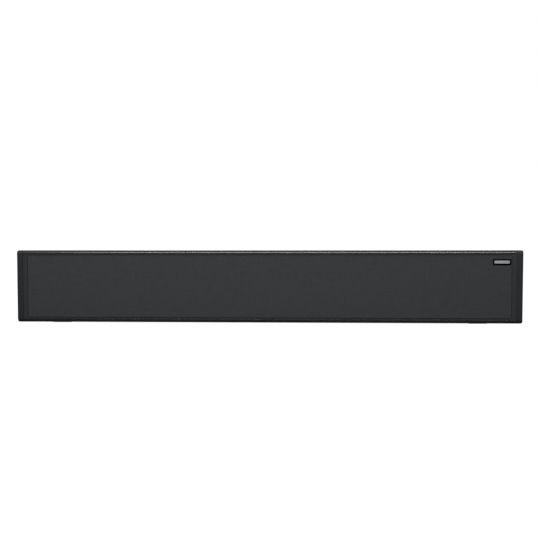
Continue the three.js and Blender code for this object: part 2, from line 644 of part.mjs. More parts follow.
part('main_board', box(-66, BOARD_Y, 24, 66, BOARD_Y + 1.6, 112), MATERIAL.board);
part('heat_sink', heatSink(), MATERIAL.aluminium);
part('power_board', box(-127, 30, 16, -85, 31.6, 112), MATERIAL.board);
part('transformer', transformer(), MATERIAL.magnet);
part('reservoir_capacitor', rod('y', -106, 96, 9, 4, 29.7, 16), MATERIAL.connector);
part('sensor_board', box(-14, BOARD_BACK + 6, DRIVER_Z - 10, 14, BOARD_BACK + 7.4, DRIVER_Z + 10), MATERIAL.board);
part('sensor_window', turned(
  [[0, BOARD_FRONT - 1], [5.4, BOARD_FRONT - 0.6], [5.4, BOARD_BACK + GAP], [8, BOARD_BACK + GAP], [8, BOARD_BACK + 1.6],
    [0, BOARD_BACK + 1.6]],
  0, DRIVER_Z, 0, 12,
), MATERIAL.window);

export default bar;
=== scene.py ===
"""A long, low soundbar: the looks around its CAD frame. Sizes are in millimetres unless said otherwise."""
import json
import math

import bmesh
import bpy
import numpy as np
from mathutils import Matrix, Vector


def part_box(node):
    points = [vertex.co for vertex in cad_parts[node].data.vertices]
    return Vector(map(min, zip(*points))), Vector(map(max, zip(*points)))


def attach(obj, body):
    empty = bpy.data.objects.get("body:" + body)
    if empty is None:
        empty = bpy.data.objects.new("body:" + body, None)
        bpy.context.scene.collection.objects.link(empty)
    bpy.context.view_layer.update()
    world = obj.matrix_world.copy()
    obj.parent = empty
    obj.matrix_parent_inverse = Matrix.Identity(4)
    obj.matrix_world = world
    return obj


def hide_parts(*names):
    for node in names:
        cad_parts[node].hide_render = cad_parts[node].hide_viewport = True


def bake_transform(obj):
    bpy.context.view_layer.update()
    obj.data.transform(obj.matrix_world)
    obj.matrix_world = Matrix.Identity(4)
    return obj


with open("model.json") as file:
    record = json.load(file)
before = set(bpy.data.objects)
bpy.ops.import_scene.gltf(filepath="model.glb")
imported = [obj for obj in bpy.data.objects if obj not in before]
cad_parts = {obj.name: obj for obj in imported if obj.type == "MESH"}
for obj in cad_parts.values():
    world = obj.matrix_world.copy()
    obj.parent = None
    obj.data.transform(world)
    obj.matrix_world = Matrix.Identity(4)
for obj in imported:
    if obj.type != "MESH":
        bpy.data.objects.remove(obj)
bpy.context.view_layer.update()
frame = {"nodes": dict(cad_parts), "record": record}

MM = 0.001

# ---------------------------------------------------------------- places, worked out from the frame


def node_box(node):
    """A CAD node's lowest and highest corners, in millimetres."""
    low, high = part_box(node)
    return low / MM, high / MM


SLEEVE_LOW, SLEEVE_HIGH = node_box("sleeve")
BAFFLE_LOW, BAFFLE_HIGH = node_box("front_baffle")
CLOTH_LOW, CLOTH_HIGH = node_box("grille_cloth")

FRONT = SLEEVE_LOW.y
REAR = SLEEVE_HIGH.y
BOTTOM = SLEEVE_LOW.z
TOP = SLEEVE_HIGH.z
SLEEVE_END = SLEEVE_HIGH.x
END = node_box("right_end_cap")[1].x

# The clearance between neighbouring parts, and the sleeve's and the caps' walls and edges.
GAP = 0.3
WALL = 2.2
CAP_WALL = 2.0
EDGE_RADIUS = 6.0
CAP_EDGE = 3.0
CAP_INNER = SLEEVE_END + GAP
PLATE_INNER = END - 3
RECESS_FLOOR = END - 1.2

# The baffle: a rim, and a board set back in it that carries the drivers.
SEAM = 0.3
BEZEL_FRONT = BAFFLE_LOW.y
BOARD_FRONT = BAFFLE_HIGH.y - 3
BOARD_BACK = BAFFLE_HIGH.y
FLANGE_FRONT = node_box("woofer_1_chassis")[0].y
DRIVER_Z = (CLOTH_LOW.z + CLOTH_HIGH.z) / 2
FRAME_BACK_FACE = node_box("grille_frame")[0].y + 2.3

# The radii of holes and of the circles that the drivers' screws stand on.
PORT_HOLE = 22.0
WOOFER_HOLE = 37.2
TWEETER_HOLE = 21.2
SENSOR_HOLE = 6.0
BUTTON_HOLE = 4.8
SCREW_SEAT = 3.4
SCREW_HOLE = 1.8
WOOFER_SCREWS = 43.6
TWEETER_SCREWS = 27.8

# A keyhole's round head and slot, as radii, and the rise from one centre to the other.
KEYHOLE_HEAD = 5.6
KEYHOLE_SLOT = 3.4
KEYHOLE_RISE = 11.0
KEYHOLE_DROP = 2.5

WOOFERS = [f"woofer_{i}" for i in range(1, 5)]
TWEETERS = [f"tweeter_{i}" for i in range(1, 3)]
BUTTONS = ["volume_up", "volume_down", "pairing", "source", "power"]
SIDES = {"left": -1, "right": 1}


def centre(node):
    low, high = node_box(node)
    return (low + high) / 2


# ---------------------------------------------------------------- camera

# Its place in metres, its turn and tilt in degrees, and its upward shift in frame widths.
CAMERA_PLACE = (0.1548, -2.1795, 0.1288)
CAMERA_YAW = 3.97
CAMERA_PITCH = -3.94
CAMERA_LENS = 79.24
CAMERA_RISE = 0.1184


def make_camera():
    data = bpy.data.cameras.new("camera")
    data.lens = CAMERA_LENS
    data.sensor_width = 36
    data.shift_y = CAMERA_RISE
    data.dof.use_dof = False
    camera = bpy.data.objects.new("camera", data)
    bpy.context.scene.collection.objects.link(camera)
    yaw = Matrix.Rotation(math.radians(CAMERA_YAW), 4, "Z")
    pitch = Matrix.Rotation(math.radians(90 + CAMERA_PITCH), 4, "X")
    camera.matrix_world = Matrix.Translation(CAMERA_PLACE) @ yaw @ pitch
    bpy.context.scene.camera = camera


make_camera()

# ---------------------------------------------------------------- material building


class Nodes:
    """A material's node tree, with short ways to add what these finishes use."""

    def __init__(self, name):
        self.material = bpy.data.materials.new(name)
        self.material.use_nodes = True
        self.tree = self.material.node_tree
        self.shader = self.tree.nodes["Principled BSDF"]
        self.where = self.add("ShaderNodeTexCoord").outputs["Object"]

    def add(self, kind, **settings):
        node = self.tree.nodes.new(kind)
        for key, value in settings.items():
            setattr(node, key, value)
        return node

    def link(self, source, target):
        self.tree.links.new(source, target)

    def noise(self, per_mm, detail=3.0, stretch=(1, 1, 1)):
        """Noise with per_mm bumps in each millimetre, drawn out along an axis where stretch is below 1."""
        mapping = self.add("ShaderNodeMapping")
        mapping.inputs["Scale"].default_value = [s / MM * per_mm for s in stretch]
        self.link(self.where, mapping.inputs["Vector"])
        noise = self.add("ShaderNodeTexNoise")
        noise.inputs["Scale"].default_value = 1.0
        noise.inputs["Detail"].default_value = detail
        self.link(mapping.outputs["Vector"], noise.inputs["Vector"])
        return noise.outputs["Fac"]

    def ramp(self, factor, low, high, start=0.3, end=0.7):
        ramp = self.add("ShaderNodeValToRGB")
        ramp.color_ramp.elements[0].position = start
        ramp.color_ramp.elements[1].position = end
        ramp.color_ramp.elements[0].color = (*low, 1)
        ramp.color_ramp.elements[1].color = (*high, 1)
        self.link(factor, ramp.inputs["Fac"])
        return ramp.outputs["Color"]

    def spread(self, factor, low, high):
        """factor from 0 to 1 as a number from low to high."""
        spread = self.add("ShaderNodeMapRange")
        spread.inputs["To Min"].default_value = low
        spread.inputs["To Max"].default_value = high
        self.link(factor, spread.inputs["Value"])
        return spread.outputs["Result"]

    def math(self, operation, *values):
        node = self.add("ShaderNodeMath", operation=operation)
        for socket, value in zip(node.inputs, values):
            if isinstance(value, (int, float)):
                socket.default_value = value
            else:
                self.link(value, socket)
        return node.outputs["Value"]

    def bump(self, height, depth_mm, strength=1.0):
        bump = self.add("ShaderNodeBump")
        bump.inputs["Strength"].default_value = strength
        bump.inputs["Distance"].default_value = depth_mm * MM
        self.link(height, bump.inputs["Height"])
        last = self.shader.inputs["Normal"].links
        if last:
            self.link(last[0].from_socket, bump.inputs["Normal"])
        self.link(bump.outputs["Normal"], self.shader.inputs["Normal"])

    def set(self, **values):
        for key, value in values.items():
            socket = self.shader.inputs[key.replace("_", " ")]
            if isinstance(value, bpy.types.NodeSocket):
                self.link(value, socket)
            else:
                socket.default_value = value


def shade(colour, factor):
    return tuple(c * factor for c in colour)


PAINT_SHEEN = (1.0, 0.86, 0.93, 1)


def painted_metal(name, colour, roughness, texture_mm=0.02, specular=0.5):
    """A powder coat with a warm sheen: fine orange peel, and a roughness that wanders a little."""
    n = Nodes(name)
    n.set(Base_Color=n.ramp(n.noise(0.03, 4), shade(colour, 0.86), shade(colour, 1.14)))
    n.set(Roughness=n.spread(n.noise(0.012, 2), roughness - 0.04, roughness + 0.05))
    n.shader.inputs["Specular IOR Level"].default_value = specular
    n.shader.inputs["Specular Tint"].default_value = PAINT_SHEEN
    n.bump(n.noise(0.9, 2), texture_mm, 0.2)
    n.bump(n.noise(3.5, 2), texture_mm * 0.5, 0.15)
    return n.material


def moulded(name, colour, roughness, texture_mm=0.03, grain_per_mm=2.2, specular=0.5):
    """A spark-eroded moulding: small even grains, rubbed a little smoother in places."""
    n = Nodes(name)
    grain = n.noise(grain_per_mm, 2)
    n.set(Base_Color=n.ramp(n.noise(0.05, 3), shade(colour, 0.9), shade(colour, 1.1)))
    n.set(Roughness=n.spread(n.noise(0.02, 3), roughness - 0.05, roughness + 0.06))
    n.shader.inputs["Specular IOR Level"].default_value = specular
    n.bump(grain, texture_mm, 0.5)
    return n.material


CLOTH_COLOUR = (0.0618, 0.0630, 0.0668)
YARN_MM = 0.85


def woven_cloth(name, colour):
    """A plain weave of two-colour yarns: warp and weft pass over each other in turn, with painted shade in
    the hollows between the yarns.
    """
    n = Nodes(name)
    split = n.add("ShaderNodeSeparateXYZ")
    n.link(n.where, split.inputs["Vector"])
    across = n.math("MULTIPLY", split.outputs["X"], 1 / (YARN_MM * MM))
    along = n.math("MULTIPLY", split.outputs["Z"], 1 / (YARN_MM * MM))
    warp = n.math("ABSOLUTE", n.math("SINE", n.math("MULTIPLY", across, math.pi)))
    weft = n.math("ABSOLUTE", n.math("SINE", n.math("MULTIPLY", along, math.pi)))
    cells = n.math("ADD", n.math("FLOOR", across), n.math("FLOOR", along))
    over = n.math("ABSOLUTE", n.math("MODULO", cells, 2))
    under = n.math("SUBTRACT", 1, over)
    lifted = n.math("ADD", n.math("MULTIPLY", warp, over), n.math("MULTIPLY", weft, under))
    upright = n.noise(1.3, 1, (1, 1, 0.03))
    level = n.noise(1.3, 1, (0.03, 1, 1))
    streaks = n.math("ADD", n.math("MULTIPLY", upright, over), n.math("MULTIPLY", level, under))
    # The streaks are the yarns' own colour; the yarn height adds painted shade, darker in the hollows
    # between yarns and lighter on their crowns.
    yarn_streaks_and_hollow_shade = n.math("ADD", n.math("MULTIPLY", streaks, 0.7), n.math("MULTIPLY", lifted, 0.3))
    n.set(Base_Color=n.ramp(yarn_streaks_and_hollow_shade, shade(colour, 0.62), shade(colour, 1.38), 0.2, 0.8))
    n.set(Roughness=0.92, Sheen_Weight=0.12, Sheen_Roughness=0.5)
    n.shader.inputs["Specular IOR Level"].default_value = 0.2
    n.bump(lifted, 0.18, 0.8)
    n.bump(n.noise(4, 2), 0.04, 0.4)
    return n.material


def gloss(name, colour, roughness=0.06, specular=0.5):
    """A lacquered black with the faintest haze and hairlines."""
    n = Nodes(name)
    n.set(Base_Color=n.ramp(n.noise(0.1, 2), shade(colour, 0.9), shade(colour, 1.1)))
    n.set(Roughness=n.spread(n.noise(0.4, 4, (1, 1, 0.1)), roughness, roughness + 0.06))
    n.shader.inputs["Specular IOR Level"].default_value = specular
    n.bump(n.noise(0.2, 2), 0.004, 0.2)
    return n.material


def bare_metal(name, colour, roughness, streak=(1, 1, 1), grain_per_mm=1.5):
    """Plated or milled metal, with its grain drawn out along one axis."""
    n = Nodes(name)
    grain = n.noise(grain_per_mm, 3, streak)
    n.set(Base_Color=n.ramp(grain, shade(colour, 0.82), shade(colour, 1.08)))
    n.set(Roughness=n.spread(grain, roughness - 0.07, roughness + 0.1), Metallic=1.0)
    n.bump(grain, 0.01, 0.4)
    return n.material


def soft_rubber(name, colour, roughness=0.72):
    n = Nodes(name)
    n.set(Base_Color=n.ramp(n.noise(0.25, 4), shade(colour, 0.8), shade(colour, 1.2)))
    n.set(Roughness=n.spread(n.noise(0.1, 3), roughness - 0.08, roughness + 0.08))
    n.shader.inputs["Specular IOR Level"].default_value = 0.35
    n.bump(n.noise(3, 2), 0.02, 0.5)
    return n.material


def pulp(name, colour):
    """Pressed fibre: short flecks over a slow mottle."""
    n = Nodes(name)
    flecks = n.noise(1.2, 5, (1, 1, 0.35))
    n.set(Base_Color=n.ramp(flecks, shade(colour, 0.55), shade(colour, 1.6)))
    n.set(Roughness=0.82)
    n.bump(flecks, 0.08, 0.6)
    return n.material


def circuit(name, colour):
    """Solder mask with tracks under it and scattered tinned pads."""
    n = Nodes(name)
    tracks = n.add("ShaderNodeTexBrick", offset=0.37, squash=0.7, squash_frequency=3)
    tracks.inputs["Scale"].default_value = 1.0
    tracks.inputs["Brick Width"].default_value = 5.2
    tracks.inputs["Row Height"].default_value = 1.3
    tracks.inputs["Mortar Size"].default_value = 0.24
    tracks.inputs["Color1"].default_value = (*shade(colour, 0.75), 1)
    tracks.inputs["Color2"].default_value = (*shade(colour, 0.9), 1)
    tracks.inputs["Mortar"].default_value = (*shade(colour, 1.7), 1)
    flat = n.add("ShaderNodeMapping")
    flat.inputs["Scale"].default_value = (1 / MM, 1 / MM, 1 / MM)
    flat.inputs["Rotation"].default_value = (math.radians(90), 0, 0)
    n.link(n.where, flat.inputs["Vector"])
    n.link(flat.outputs["Vector"], tracks.inputs["Vector"])
    n.set(Base_Color=tracks.outputs["Color"], Roughness=0.38)
    n.bump(tracks.outputs["Fac"], 0.03, 0.6)
    return n.material


SLEEVE_COLOUR = (0.0110, 0.0138, 0.0143)
CAP_COLOUR = (0.0200, 0.0225, 0.0245)
BEZEL_COLOUR = (0.032, 0.033, 0.036)
BLACK = (0.012, 0.012, 0.0125)

FINISH = {
    "sleeve_paint": painted_metal("sleeve_paint", SLEEVE_COLOUR, 0.25, texture_mm=0.008, specular=1.0),
    "moulded_plastic": moulded("moulded_plastic", CAP_COLOUR, 0.5),
    "bezel_plastic": moulded("bezel_plastic", BEZEL_COLOUR, 0.62),
    "inner_plastic": moulded("inner_plastic", BLACK, 0.55),
    "port_plastic": moulded("port_plastic", shade(BLACK, 1.3), 0.5),
    "grille_cloth": woven_cloth("grille_cloth", CLOTH_COLOUR),
    "badge_gloss": gloss("badge_gloss", (0.0005, 0.0005, 0.0006), 0.06, 0.03),
    "badge_satin": gloss("badge_satin", (0.5, 0.5, 0.5), 0.3),
    "button_rubber": soft_rubber("button_rubber", (0.026, 0.027, 0.029)),
    "foot_rubber": soft_rubber("foot_rubber", (0.016, 0.016, 0.016), 0.8),
    "surround_rubber": soft_rubber("surround_rubber", (0.014, 0.014, 0.015), 0.5),
    "black_steel": painted_metal("black_steel", (0.016, 0.016, 0.018), 0.4),
    "zinc_steel": bare_metal("zinc_steel", (0.60, 0.61, 0.63), 0.34, (1, 1, 0.2)),
    "plated_shell": bare_metal("plated_shell", (0.64, 0.63, 0.61), 0.26, (0.15, 1, 1)),
    "connector_plastic": moulded("connector_plastic", BLACK, 0.42, 0.015, 3.5),
    "cone_paper": pulp("cone_paper", (0.024, 0.024, 0.026)),
    "dome_fabric": soft_rubber("dome_fabric", (0.020, 0.020, 0.022), 0.6),
    "magnet_steel": bare_metal("magnet_steel", (0.19, 0.19, 0.20), 0.5),
    "circuit_board": circuit("circuit_board", (0.010, 0.085, 0.035)),
    "bare_aluminium": bare_metal("bare_aluminium", (0.66, 0.67, 0.68), 0.36, (1, 1, 0.1)),
    "dark_window": gloss("dark_window", (0.012, 0.003, 0.004), 0.1),
}
ICON = moulded("icon_ink", (0.42, 0.43, 0.44), 0.5, 0.01, 4)

# ---------------------------------------------------------------- mesh building


def arc(x, y, radius, start, end, steps):
    """Points on a circle from one angle to another, in degrees, both ends included."""
    angles = [math.radians(start + (end - start) * i / steps) for i in range(steps + 1)]
    return [(x + radius * math.cos(a), y + radius * math.sin(a)) for a in angles]


def rounded(left, bottom, right, top, radius, steps=8):
    """A rectangle's outline with rounded corners."""
    return (
        arc(left + radius, bottom + radius, radius, 180, 270, steps)
        + arc(right - radius, bottom + radius, radius, 270, 360, steps)
        + arc(right - radius, top - radius, radius, 0, 90, steps)
        + arc(left + radius, top - radius, radius, 90, 180, steps)
    )


def on_axis(axis, u, v, w):
    """A point from its place (u, v) in an outline and w along the outline's axis."""
    return {"x": (w, u, v), "y": (u, w, v), "z": (u, v, w)}[axis]


def loft(axis, loops):
    """A closed bmesh through outlines of equal length, given as (w, outline), with both ends filled."""
    shape = bmesh.new()
    rings = [
        [shape.verts.new([c * MM for c in on_axis(axis, u, v, w)]) for u, v in outline]
        for w, outline in loops
    ]
    shape.faces.new(rings[0])
    shape.faces.new(rings[-1])
    for one, two in zip(rings, rings[1:]):
        for i in range(len(one)):
            j = (i + 1) % len(one)
            shape.faces.new((one[i], one[j], two[j], two[i]))
    bmesh.ops.recalc_face_normals(shape, faces=shape.faces)
    return shape


def prism(axis, outline, low, high):
    return loft(axis, [(low, outline), (high, outline)])


def rod(axis, u, v, radius, low, high, sides=32):
    return prism(axis, arc(u, v, radius, 0, 360 * (sides - 1) / sides, sides - 1), low, high)


def block(x0, y0, z0, x1, y1, z1):
    return prism("z", [(x0, y0), (x1, y0), (x1, y1), (x0, y1)], z0, z1)


def turned(profile, x, z, y=0.0, segments=96):
    """Turns a profile of (radius, y) points about a line along Y. Points on the axis become one vertex."""
    shape = bmesh.new()
    rings = []
    for radius, along in profile:
        if radius < 1e-6:
            rings.append([shape.verts.new((x * MM, (y + along) * MM, z * MM))])
            continue
        rings.append([
            shape.verts.new((
                (x + radius * math.cos(2 * math.pi * i / segments)) * MM,
                (y + along) * MM,
                (z + radius * math.sin(2 * math.pi * i / segments)) * MM,
            ))
            for i in range(segments)
        ])
    pairs = list(zip(rings, rings[1:]))
    if len(rings[0]) > 1:
        pairs.append((rings[-1], rings[0]))
    for one, two in pairs:
        for i in range(segments):
            j = (i + 1) % segments
            corners = [one[i % len(one)], one[j % len(one)], two[j % len(two)], two[i % len(two)]]
            corners = list(dict.fromkeys(corners))
            if len(corners) > 2:
                shape.faces.new(corners)
    bmesh.ops.recalc_face_normals(shape, faces=shape.faces)
    return shape


def combined(shapes):
    """Several bmeshes as one, without joining their surfaces."""
    whole = bmesh.new()
    for shape in shapes:
        mesh = bpy.data.meshes.new("part")
        shape.to_mesh(mesh)
        shape.free()
        whole.from_mesh(mesh)
        bpy.data.meshes.remove(mesh)
    return whole


def plain_object(name, shape):
    mesh = bpy.data.meshes.new(name)
    shape.to_mesh(mesh)
    shape.free()
    made = bpy.data.objects.new(name, mesh)
    bpy.context.scene.collection.objects.link(made)
    return made


def carved(shape, cutters):
    """shape with each cutter taken out of it."""
    body = plain_object("body", shape)
    tools = [plain_object("tool", cutter) for cutter in cutters]
    for tool in tools:
        change = body.modifiers.new("cut", "BOOLEAN")
        change.operation = "DIFFERENCE"
        change.solver = "EXACT"
        change.object = tool
    bpy.context.view_layer.update()
    result = bmesh.new()
    result.from_object(body, bpy.context.evaluated_depsgraph_get())
    bmesh.ops.remove_doubles(result, verts=result.verts, dist=1e-7)
    for made in [body, *tools]:
        mesh = made.data
        bpy.data.objects.remove(made)
        bpy.data.meshes.remove(mesh)
    return result


def soften(made, width, segments=2, angle=35):
    """Rounds the sharp edges of an object by width, and keeps its flat faces looking flat."""
    for polygon in made.data.polygons:
        polygon.use_smooth = True
    if width:
        bevel = made.modifiers.new("edges", "BEVEL")
        bevel.width = width * MM
        bevel.segments = segments
        bevel.limit_method = "ANGLE"
        bevel.angle_limit = math.radians(angle)
        bevel.harden_normals = False
        bevel.use_clamp_overlap = True
    normals = made.modifiers.new("flats", "WEIGHTED_NORMAL")
    normals.keep_sharp = True
    normals.weight = 80


def piece(name, shape, finish, body="root", replaces=(), edge=0.0, segments=2, angle=35):
    """A finished piece: its mesh, its material, the body it rides on and the CAD nodes it stands for."""
    made = plain_object(name, shape)
    material = FINISH[finish] if isinstance(finish, str) else finish
    made.data.materials.append(material)
    soften(made, edge, segments, angle)
    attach(made, body)
    if replaces:
        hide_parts(*replaces)
    return made


def placed(shape, x, y, z, turn=None):
    """A copy of a bmesh, turned and then moved, in millimetres."""
    copy = shape.copy()
    matrix = Matrix.Translation((x * MM, y * MM, z * MM)) @ (turn or Matrix.Identity(4))
    copy.transform(matrix)
    return copy


# A screw head faces -Y at the origin; these turn it to face another way.
FACING = {
    "front": Matrix.Identity(4),
    "back": Matrix.Rotation(math.pi, 4, "Z"),
    "right": Matrix.Rotation(math.pi / 2, 4, "Z"),
    "left": Matrix.Rotation(-math.pi / 2, 4, "Z"),
}


def screw_head(radius, height):
    """A domed head with a cross recess."""
    side, dome = 0.35 * height, 0.65 * height
    rim = [(radius * math.cos(a), -side - dome * math.sin(a)) for a in np.linspace(0, math.pi / 2, 7)]
    rim[-1] = (0.0, rim[-1][1])
    head = turned([(0, 0.2), (radius, 0.2), *rim], 0, 0, segments=32)
    arm, half = radius * 0.56, radius * 0.13
    start = -height - 1
    level = block(-arm, start, -half, arm, -side, half)
    upright = block(-half, start, -arm, half, -side, arm)
    return carved(head, [level, upright])


# ---------------------------------------------------------------- sleeve and caps


def sleeve_section():
    """The sleeve's wall cut across, with round edges, and open at the front between its two lips."""
    inner = EDGE_RADIUS - WALL
    low, high = BOTTOM + EDGE_RADIUS, TOP - EDGE_RADIUS
    front, rear = FRONT + EDGE_RADIUS, REAR - EDGE_RADIUS
    return (
        arc(front, low, EDGE_RADIUS, 180, 270, 14)
        + arc(rear, low, EDGE_RADIUS, 270, 360, 14)
        + arc(rear, high, EDGE_RADIUS, 0, 90, 14)
        + arc(front, high, EDGE_RADIUS, 90, 180, 14)
        + arc(front, high, inner, 180, 90, 8)
        + arc(rear, high, inner, 90, 0, 8)
        + arc(rear, low, inner, 0, -90, 8)
        + arc(front, low, inner, -90, -180, 8)
    )


def keyhole(x, z):
    """A keyhole's outline round the centre of its head, with its slot above."""
    join = math.degrees(math.asin(KEYHOLE_SLOT / KEYHOLE_HEAD))
    head = arc(x, z, KEYHOLE_HEAD, 90 + join, 450 - join, 28)
    return head + arc(x, z + KEYHOLE_RISE, KEYHOLE_SLOT, 0, 180, 12)


def make_sleeve():
    panel_low, panel_high = node_box("terminal_panel")
    inset = 5.6
    pocket = rounded(
        panel_low.x + inset, panel_low.z + inset, panel_high.x - inset, panel_high.z - inset, 4)
    low, high = REAR - 2 * WALL, REAR + 1
    cutters = [prism("y", pocket, low, high)]
    for side in SIDES:
        port = centre(f"{side}_port_tube")
        cutters.append(rod("y", port.x, port.z, PORT_HOLE, low, high, 96))
        hanger = centre(f"{side}_hanger_plate")
        cutters.append(prism("y", keyhole(hanger.x, hanger.z - KEYHOLE_DROP), low, high))
    shell = carved(prism("x", sleeve_section(), -SLEEVE_END, SLEEVE_END), cutters)
    piece("sleeve_shell", shell, "sleeve_paint", replaces=["sleeve"], edge=0.35, segments=2, angle=40)


def cap_outline(inset):
    radius = max(EDGE_RADIUS - inset, 0.2)
    return rounded(FRONT + inset, BOTTOM + inset, REAR - inset, TOP - inset, radius)


def make_cap(side, sign):
    """A hollow cap with a round outer edge, holes for its screws and, on the right, the button recess."""
    loops = []
    for a in [math.pi / 2 * i / 10 for i in range(11)]:
        outline = cap_outline(CAP_EDGE * (1 - math.sin(a)))
        loops.append((sign * (END - CAP_EDGE * (1 - math.cos(a))), outline))
    hollow = cap_outline(WALL + GAP + CAP_WALL)
    loops.append((sign * CAP_INNER, cap_outline(0)))
    loops.append((sign * CAP_INNER, hollow))
    loops.append((sign * PLATE_INNER, hollow))
    shell = loft("x", loops)
    cutters = []
    for height in ("bottom", "top"):
        screw = centre(f"{side}_cap_screw_{height}")
        seat = sorted((sign * (RECESS_FLOOR - 1), sign * (END + 1)))
        hole = sorted((sign * CAP_INNER, sign * END))
        cutters.append(rod("x", screw.y, screw.z, SCREW_SEAT, *seat, 40))
        cutters.append(rod("x", screw.y, screw.z, SCREW_HOLE, *hole, 24))
    if sign > 0:
        zs = [centre(f"{name}_button").z for name in BUTTONS]
        recess = rounded(-8.5, min(zs) - 11, 8.5, max(zs) + 11, 8.4, 12)
        cutters.append(prism("x", recess, RECESS_FLOOR, END + 1))
        cutters += [rod("x", 0, z, BUTTON_HOLE, CAP_INNER + 1, END, 48) for z in zs]
    piece(
        f"{side}_cap_shell", carved(shell, cutters), "moulded_plastic",
        replaces=[f"{side}_end_cap"], edge=0.22, segments=2, angle=50)


def make_cap_screws():
    head = screw_head(2.9, 1.5)
    for side, sign in SIDES.items():
        for height in ("bottom", "top"):
            node = f"{side}_cap_screw_{height}"
            place = centre(node)
            seat = sign * (END - 1.9)
            shank = rod("x", place.y, place.z, 1.4, *sorted((sign * (CAP_INNER - 12), seat)), 20)
            shapes = [placed(head, seat, place.y, place.z, FACING[side]), shank]
            piece(f"{node}_fine", combined(shapes), "black_steel", replaces=[node], edge=0.05, angle=50)
    head.free()


make_sleeve()
for cap_side, cap_sign in SIDES.items():
    make_cap(cap_side, cap_sign)
make_cap_screws()

# ---------------------------------------------------------------- buttons


def icon_shapes(name, face, z):
    """A raised mark on a button's face, drawn in (y, z) and facing +X."""
    deep = (face - 0.2, face + 0.12)

    def bar(y0, z0, y1, z1):
        return prism("x", rounded(y0, z + z0, y1, z + z1, 0.12, 3), *deep)

    def ring(outer, inner, start, end, steps=30):
        outline = arc(0, z, outer, start, end, steps) + arc(0, z, inner, end, start, steps)
        return prism("x", outline, *deep)

    marks = {
        "volume_up": [
            bar(-1.7, -0.27, 1.7, 0.27),
            bar(-0.27, 0.2, 0.27, 1.7),
            bar(-0.27, -1.7, 0.27, -0.2),
        ],
        "volume_down": [bar(-1.7, -0.27, 1.7, 0.27)],
        "pairing": [
            ring(1.75, 1.3, 20, 160),
            ring(1.75, 1.3, 200, 340),
            ring(0.55, 0.05, 0, 350),
        ],
        "source": [
            bar(-1.8, 0.7, 1.8, 1.15),
            bar(-1.8, -0.22, 1.8, 0.22),
            bar(-1.8, -1.15, 1.8, -0.7),
        ],
        "power": [ring(1.75, 1.3, 120, 420), bar(-0.23, 0.5, 0.23, 2.0)],
    }
    return marks[name]


def make_button(name):
    """A round-edged cap with a flange that stops it behind the end plate, a stem, and its mark."""
    node = f"{name}_button"
    low, high = node_box(node)
    z = (low.z + high.z) / 2
    face = high.x
    cap, flange, stem, edge = 4.4, 6.0, 1.6, 0.7
    flange_front = PLATE_INNER - GAP
    flange_back = PLATE_INNER - 1.5
    steps = [
        (face - edge * (1 - math.cos(a)), cap - edge * (1 - math.sin(a)))
        for a in np.linspace(0, math.pi / 2, 7)
    ]
    steps += [(flange_front, cap), (flange_front, flange)]
    steps += [(flange_back, flange), (flange_back, stem), (low.x, stem)]
    loops = [(x, arc(0, z, radius, 0, 357, 71)) for x, radius in steps]
    piece(f"{name}_cap", loft("x", loops), "button_rubber", body=name, replaces=[node], edge=0.12, angle=50)
    piece(f"{name}_icon", combined(icon_shapes(name, face, z)), ICON, body=name)


for button_name in BUTTONS:
    make_button(button_name)

# ---------------------------------------------------------------- baffle, grille and badge


def make_baffle():
    outside = rounded(-CAP_INNER + 0.1, BAFFLE_LOW.z, CAP_INNER - 0.1, BAFFLE_HIGH.z, 0.4, 3)
    recess = rounded(
        CLOTH_LOW.x - SEAM, CLOTH_LOW.z - SEAM, CLOTH_HIGH.x + SEAM, CLOTH_HIGH.z + SEAM, 2.4, 8)
    low, high = BOARD_FRONT - 1, BOARD_BACK + 1
    cutters = [prism("y", recess, BEZEL_FRONT - 1, BOARD_FRONT)]
    cutters += [rod("y", centre(f"{w}_chassis").x, DRIVER_Z, WOOFER_HOLE, low, high, 96) for w in WOOFERS]
    cutters += [rod("y", centre(f"{t}_body").x, DRIVER_Z, TWEETER_HOLE, low, high, 64) for t in TWEETERS]
    cutters.append(rod("y", 0, DRIVER_Z, SENSOR_HOLE, low, high, 40))
    shell = carved(prism("y", outside, BEZEL_FRONT, BOARD_BACK), cutters)
    piece(
        "baffle_moulding", shell, "bezel_plastic",
        replaces=["front_baffle"], edge=0.25, segments=3, angle=50)


CLOTH_RADIUS = 1.1
CLOTH_THICK = 0.45
TURN_BACK = 7.0


def make_cloth():
    """The cloth: one sheet over the frame's face, round its edges and back onto its rear."""
    rear = FRAME_BACK_FACE + 0.35
    front = CLOTH_LOW.y
    steps = [(inset, front) for inset in (30, 14, 6, 3)]
    for a in np.linspace(0, math.pi / 2, 7):
        steps.append((CLOTH_RADIUS * (1 - math.sin(a)), front + CLOTH_RADIUS * (1 - math.cos(a))))
    steps += [(0, rear - 0.5), (0.5, rear), (TURN_BACK, rear)]
    loops = []
    for inset, y in steps:
        outline = rounded(
            CLOTH_LOW.x + inset, CLOTH_LOW.z + inset, CLOTH_HIGH.x - inset, CLOTH_HIGH.z - inset,
            max(2.2 - inset, 0.8), 6)
        loops.append((y, outline))
    sheet = loft("y", loops)
    # The last outline's filling would close the open back.
    ends = [face for face in sheet.faces if len(face.verts) > 4]
    sheet.faces.remove(max(ends, key=lambda face: face.verts[0].co.y))
    made = piece("grille_cloth_sheet", sheet, "grille_cloth", body="grille", replaces=["grille_cloth"])
    thickness = made.modifiers.new("cloth", "SOLIDIFY")
    thickness.thickness = CLOTH_THICK * MM
    thickness.offset = -1


def make_badge():
    low, high = node_box("badge_plate")
    plate = prism("y", rounded(low.x, low.z, high.x, high.z, 1.3), low.y, high.y)
    piece("badge_body", plate, "badge_gloss", body="grille", replaces=["badge_plate"], edge=0.2, segments=3)
    low, high = node_box("badge_inlay")
    bar = prism("y", rounded(low.x, low.z, high.x, high.z, 1.0), low.y, high.y + 0.2)
    piece("badge_bar", bar, "badge_satin", body="grille", replaces=["badge_inlay"], edge=0.1)


make_baffle()
make_cloth()
make_badge()

# ---------------------------------------------------------------- ports and feet


